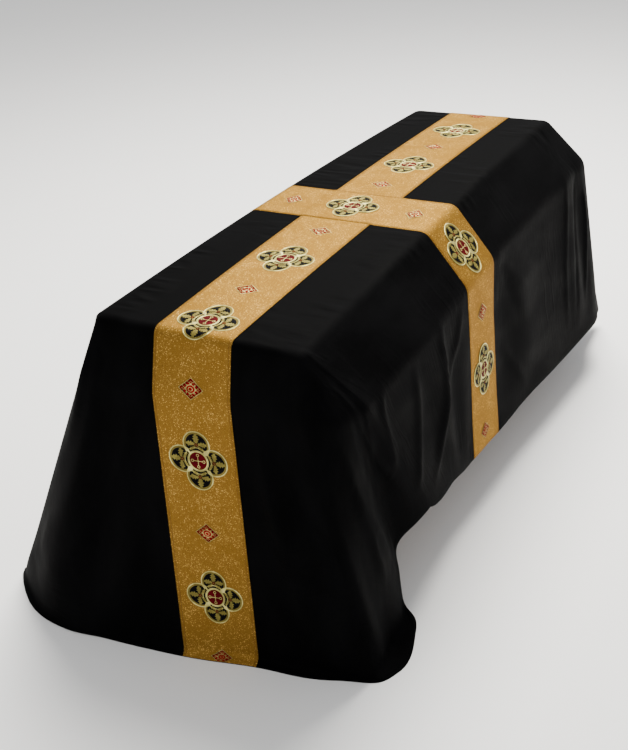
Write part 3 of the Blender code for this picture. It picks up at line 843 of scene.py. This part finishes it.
def set_inputs(node, inputs):
    """Sets a node's inputs, each to a value or joined to a socket."""
    for key, value in inputs.items():
        if isinstance(value, bpy.types.NodeSocket):
            node.id_data.links.new(value, node.inputs[key])
        else:
            node.inputs[key].default_value = value


def add_node(source, kind, inputs=None, **settings):
    """A node with its settings and inputs, in the tree that the source is in."""
    node = source.id_data.nodes.new(kind)
    for key, value in settings.items():
        setattr(node, key, value)
    set_inputs(node, inputs or {})
    return node


def new_material(name):
    """A material and its shader."""
    material = bpy.data.materials.new(name)
    material.use_nodes = True
    return material, material.node_tree.nodes["Principled BSDF"]


def flat_map(shader, name="flat"):
    return add_node(shader, "ShaderNodeUVMap", uv_map=name).outputs["UV"]


def object_place(shader):
    return add_node(shader, "ShaderNodeTexCoord").outputs["Object"]


def axes(vector):
    return add_node(vector, "ShaderNodeSeparateXYZ", {0: vector}).outputs


def scaled(vector, scale, turn=0.0):
    inputs = {"Vector": vector, "Scale": scale, "Rotation": (0, 0, math.radians(turn))}
    return add_node(vector, "ShaderNodeMapping", inputs).outputs["Vector"]


def noise(vector, scale, detail=2.0, roughness=0.5):
    inputs = {"Vector": vector, "Scale": scale, "Detail": detail, "Roughness": roughness}
    return add_node(vector, "ShaderNodeTexNoise", inputs).outputs["Fac"]


def waves(vector, scale, distortion, detail, detail_scale=1.0):
    inputs = {"Vector": vector, "Scale": scale, "Distortion": distortion, "Detail": detail,
              "Detail Scale": detail_scale}
    return add_node(vector, "ShaderNodeTexWave", inputs).outputs["Fac"]


def stepped(value, low, high, to_low=0.0, to_high=1.0):
    """Maps the value from low..high to to_low..to_high, smoothly and without going past either."""
    inputs = {"Value": value, "From Min": low, "From Max": high, "To Min": to_low, "To Max": to_high}
    return add_node(value, "ShaderNodeMapRange", inputs, interpolation_type="SMOOTHSTEP").outputs["Result"]


def calculated(operation, a, b=0.0):
    return add_node(a, "ShaderNodeMath", {0: a, 1: b}, operation=operation).outputs[0]


def product(a, b):
    return calculated("MULTIPLY", a, b)


def total(a, b):
    return calculated("ADD", a, b)


def away(value, middle=0.0):
    """How far the value is from the middle, on either side."""
    return calculated("ABSOLUTE", total(value, -middle))


def line_at(value, middle, reach):
    """1 where the value is the middle, and smoothly down to 0 within the reach."""
    return stepped(away(value, middle), 0.0, reach, 1.0, 0.0)


def mixed(share, a, b):
    """Colour between a and b."""
    return add_node(share, "ShaderNodeMix", {0: share, 6: a, 7: b}, data_type="RGBA").outputs[2]


def bumped(*layers):
    """A normal with layers of relief on it, each as height, depth in metres and strength."""
    normal = {}
    for height, depth, strength in layers:
        inputs = {"Height": height, "Distance": depth, "Strength": strength, **normal}
        normal = {"Normal": add_node(height, "ShaderNodeBump", inputs).outputs["Normal"]}
    return normal["Normal"]


def velvet_material():
    """Black velvet: a short nap that lies this way and that, fine creases, and the hem's sewn line."""
    material, shader = new_material("pall_velvet")
    flat = flat_map(shader)
    place = axes(flat)
    brushed = noise(scaled(flat, (7, 3, 1), 20), 1.0, 4, 0.6)
    nap = noise(flat, 1400, 2)
    shade = total(stepped(brushed, 0.35, 0.7, 0.0, 0.75), stepped(nap, 0.3, 0.7, 0.0, 0.25))
    colour = mixed(shade, (0.0006, 0.0006, 0.0007, 1), (0.0026, 0.0026, 0.0029, 1))
    sewn = line_at(axes(flat_map(shader, "hem"))["X"], HEM_INSET, 0.003)

    creased = noise(scaled(flat, (5, 16, 1), 28), 1.0, 2)
    wrinkles = product(line_at(creased, 0.5, 0.09), stepped(noise(flat, 3.0, 1), 0.45, 0.7))

    on_top = product(stepped(away(place["X"]), 0.22, 0.34, 1.0, 0.0),
                     stepped(away(place["Y"]), 0.80, 0.92, 1.0, 0.0))
    puckered = noise(scaled(flat, (3, 12, 1), -16), 1.0, 1.5)
    in_places = stepped(noise(scaled(flat, (5, 3, 1)), 1.0, 1), 0.42, 0.62)
    puckers = product(product(line_at(puckered, 0.5, 0.15), on_top), in_places)

    beside_top = stepped(away(place["X"]), 0.38, 0.48)
    streaks = product(noise(scaled(flat, (5, 150, 1)), 1.0, 3, 0.6), beside_top)

    set_inputs(shader, {
        "Base Color": mixed(sewn, colour, (0.0004, 0.0004, 0.0005, 1)),
        "Roughness": stepped(brushed, 0.3, 0.7, 0.55, 0.72),
        "Specular IOR Level": 0.010, "Sheen Weight": 0.0055, "Sheen Roughness": 0.32,
        "Sheen Tint": (0.93, 0.94, 0.95, 1),
        "Normal": bumped((wrinkles, 0.0022, 0.3), (puckers, 0.006, 0.7), (streaks, 0.0012, 0.6),
                         (brushed, 0.010, 0.25), (sewn, -0.0015, 0.6), (nap, 0.0005, 0.35)),
    })
    return material


def lining_material():
    """Plain black lining cloth on the pall's underside."""
    material, shader = new_material("pall_lining")
    weave = noise(scaled(flat_map(shader), (900, 300, 1)), 1.0, 1)
    set_inputs(shader, {
        "Base Color": mixed(weave, (0.006, 0.006, 0.008, 1), (0.014, 0.014, 0.018, 1)),
        "Roughness": 0.55, "Specular IOR Level": 0.12,
        "Normal": bumped((weave, 0.0004, 0.4)),
    })
    return material


def brocade_material():
    """Gold brocade: close metal thread with painted glints on its ends, a fine weave and a sewn line by each
    edge.
    """
    material, shader = new_material("gold_brocade")
    flat = flat_map(shader)
    grain = noise(flat, 420, 3, 0.7)
    patch = noise(flat, 16, 3, 0.6)
    cells = add_node(flat, "ShaderNodeTexVoronoi", {"Vector": flat, "Scale": 560.0}).outputs["Color"]
    draw = add_node(flat, "ShaderNodeSeparateColor", {0: cells}).outputs[0]
    # Specks where a painted highlight (glint) lightens the colour, and where the thread is a little less
    # rough
    painted_glint = stepped(total(draw, product(patch, 0.30)), 1.05, 1.12)
    dark = stepped(total(draw, product(patch, -0.2)), 0.10, 0.02)
    sewn = line_at(away(axes(flat)["X"]), BAND_HALF - STITCH_INSET, 0.0024)
    twill = waves(scaled(flat, (1, 1, 1), 38), 260.0, 1.2, 1.0)

    colour = mixed(stepped(grain, 0.25, 0.75), (0.155, 0.074, 0.010, 1), (0.250, 0.133, 0.020, 1))
    # Over the ground: lighter patches and darker specks of the thread's own tone, the painted glints in
    # bright gold, and the sewn lines
    for share, over in (
        (stepped(patch, 0.3, 0.8, 0.0, 0.35), (0.265, 0.150, 0.028, 1)),
        (product(dark, 0.5), (0.12, 0.050, 0.008, 1)),
        (product(painted_glint, 0.65), (0.76, 0.46, 0.12, 1)),
        (product(sewn, 0.5), (0.14, 0.06, 0.009, 1)),
    ):
        colour = mixed(share, colour, over)
    set_inputs(shader, {
        "Base Color": colour,
        "Roughness": stepped(painted_glint, 0.0, 1.0, 0.52, 0.40),
        "Metallic": 0.5, "Specular IOR Level": 0.06, "Specular Tint": (1.0, 0.64, 0.22, 1),
        "Normal": bumped((twill, 0.0004, 0.35), (grain, 0.0008, 0.5), (sewn, -0.0012, 0.7)),
    })
    return material


def thread_material(name, low, high, roughness=0.5, metallic=0.0, specular=0.1):
    """Thread laid close together, in one colour, lightened in broad patches by painted highlights."""
    material, shader = new_material(name)
    flat = flat_map(shader)
    strands = waves(scaled(flat, (1, 1, 1), 45), 420.0, 2.0, 1.0)
    # Painted highlights: broad patches lightened towards the high colour, standing in for light gleaming off
    # the thread
    in_places = stepped(noise(flat, 32, 1), 0.45, 0.62, 0.0, 0.45)
    share = total(product(strands, 0.20), total(product(noise(flat, 500, 2), 0.35), in_places))
    set_inputs(shader, {
        "Base Color": mixed(share, (*low, 1), (*high, 1)),
        "Roughness": roughness, "Metallic": metallic, "Specular IOR Level": specular,
        "Normal": bumped((strands, 0.0003, 0.5)),
    })
    return material


def wood_material(name, dark, light, roughness, coat):
    """Varnished wood with its grain along the coffin."""
    material, shader = new_material(name)
    place = object_place(shader)
    bent = noise(scaled(place, (3, 0.7, 3)), 1.0, 3)
    rings = waves(scaled(place, (9, 0.5, 9)), 1.4, 6.0, 3.0, 1.5)
    pores = noise(scaled(place, (220, 9, 220)), 1.0, 2)
    ground = mixed(product(total(rings, bent), 0.5), (*dark, 1), (*light, 1))
    pitted = stepped(pores, 0.28, 0.42, 0.6, 0.0)
    set_inputs(shader, {
        "Base Color": mixed(pitted, ground, (*(part * 0.35 for part in dark), 1)),
        "Roughness": stepped(pores, 0.3, 0.6, roughness + 0.15, roughness - 0.08),
        "Coat Weight": coat, "Coat Roughness": 0.2,
        "Normal": bumped((pores, 0.0006, 0.4)),
    })
    return material


def floor_material():
    """Pale floor, hardly uneven."""
    material, shader = new_material("pale_floor")
    uneven = noise(object_place(shader), 3.0)
    set_inputs(shader, {
        "Base Color": mixed(uneven, (0.90, 0.90, 0.90, 1), (0.92, 0.92, 0.92, 1)),
        "Roughness": 0.75, "Specular IOR Level": 0.2,
    })
    return material


# The stage


def add_camera():
    """The photo's camera."""
    data = bpy.data.cameras.new("camera")
    data.sensor_width = SENSOR_MM
    data.lens = LENS_MM
    camera = add_object("camera", data)
    matrix = Matrix.Translation(CAMERA_PLACE)
    for axis, degrees in CAMERA_TURNS:
        matrix = matrix @ Matrix.Rotation(math.radians(degrees), 4, axis)
    camera.matrix_world = matrix
    bpy.context.scene.camera = camera


def add_area_light(name, place, target, size, energy, colour):
    """A round soft light that points at its target."""
    data = bpy.data.lights.new(name, "AREA")
    data.shape = "DISK"
    data.size = size
    data.energy = energy
    data.color = colour
    light = add_object(name, data)
    light.location = place
    way = Vector(target) - Vector(place)
    light.rotation_euler = way.to_track_quat("-Z", "Y").to_euler()


def add_stage():
    """The floor, the pale room and the lights."""
    low, high = -FLOOR_HALF, FLOOR_HALF
    mesh = bpy.data.meshes.new("floor")
    mesh.from_pydata([(low, low, 0), (high, low, 0), (high, high, 0), (low, high, 0)], [], [(0, 1, 2, 3)])
    mesh.materials.append(floor_material())
    floor = add_object("floor", mesh)
    world = bpy.data.worlds.new("pale_room")
    bpy.context.scene.world = world
    world.use_nodes = True
    set_inputs(world.node_tree.nodes["Background"], {"Color": (1.0, 1.0, 1.0, 1), "Strength": ROOM_STRENGTH})
    for light in LIGHTS:
        add_area_light(*light)


def main():
    points, flat, faces, top_numbers, numbers, straight = pall_surface()
    normals = vertex_normals(points, faces)
    velvet, lining, gold = velvet_material(), lining_material(), brocade_material()

    from_hem = -inside_outline(flat)
    hem = np.stack([from_hem, np.zeros_like(from_hem)], 1)
    pall = mesh_object("pall", points, faces, [velvet, lining], flat=flat, hem=hem)
    thicken(pall, CLOTH_THICKNESS, -1, inner_material=1)
    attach(pall, "root")
    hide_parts("pall_cloth")

    black_thread = thread_material("black_thread", (0.001, 0.001, 0.0012), (0.005, 0.005, 0.006),
                                   specular=0.02)
    hem_stitches = add_hem_stitches(points, normals, numbers, flat, black_thread)
    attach(hem_stitches, "root")

    threads = [
        thread_material("pale_thread", (0.24, 0.205, 0.052), (0.82, 0.74, 0.28), 0.32, 0.7),
        thread_material("leaf_thread", (0.11, 0.088, 0.016), (0.29, 0.24, 0.052), metallic=0.3),
        black_thread,
        thread_material("red_thread", (0.050, 0.001, 0.003), (0.100, 0.0015, 0.005), specular=0.02),
        thread_material("old_gold_thread", (0.10, 0.070, 0.010), (0.21, 0.150, 0.03), metallic=0.3),
        thread_material("bright_red_thread", (0.17, 0.001, 0.003), (0.30, 0.002, 0.006), specular=0.02),
    ]
    line_thread = thread_material("line_thread", (0.13, 0.055, 0.008), (0.24, 0.11, 0.02), metallic=0.2)
    flower, lozenge = quatrefoil(), diamond()
    long_grid, cross_grid = band_grids(top_numbers, straight)
    for name, grid, crosswise, reach, middle in (
        ("long_band", long_grid, False, PALL_LENGTH / 2, CROSS_Y),
        ("cross_band", cross_grid, True, PALL_HALF_WIDTH, 0.0),
    ):
        band = band_surface(grid, points, normals, flat, crosswise)
        ends = (middle - reach, middle + reach)
        sheet = add_band(name + "_brocade", band, grid, gold)
        thicken(sheet, BAND_THICKNESS, 1)
        places = []
        steps_out = int((reach + DIAMOND_REACH[1]) / MOTIF_STEP)
        for k in range(-steps_out, steps_out + 1):
            if k == 0 and not crosswise:
                continue
            shapes, size = (flower, QUATREFOIL_REACH) if k % 2 == 0 else (lozenge, DIAMOND_REACH)
            places.append((shapes, size, middle + k * MOTIF_STEP + MOTIF_SHIFTS.get((name, k), 0.0)))
        motifs = add_motifs(name + "_motifs", band, places, threads, (ends[0] + 0.001, ends[1] - 0.001))
        stitches = add_band_stitches(name + "_stitches", band, ends, line_thread)
        for piece in (sheet, motifs, stitches):
            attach(piece, "root")
        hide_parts(name)

    for node, *wood_look in (
        ("coffin", (0.045, 0.017, 0.007), (0.15, 0.062, 0.024), 0.32, 0.35),
        ("bier", (0.09, 0.055, 0.03), (0.20, 0.13, 0.075), 0.55, 0.05),
    ):
        wood = wood_material(node + "_wood", *wood_look)
        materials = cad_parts[node].data.materials
        for k in range(len(materials)):
            materials[k] = wood

    add_stage()
    add_camera()


main()
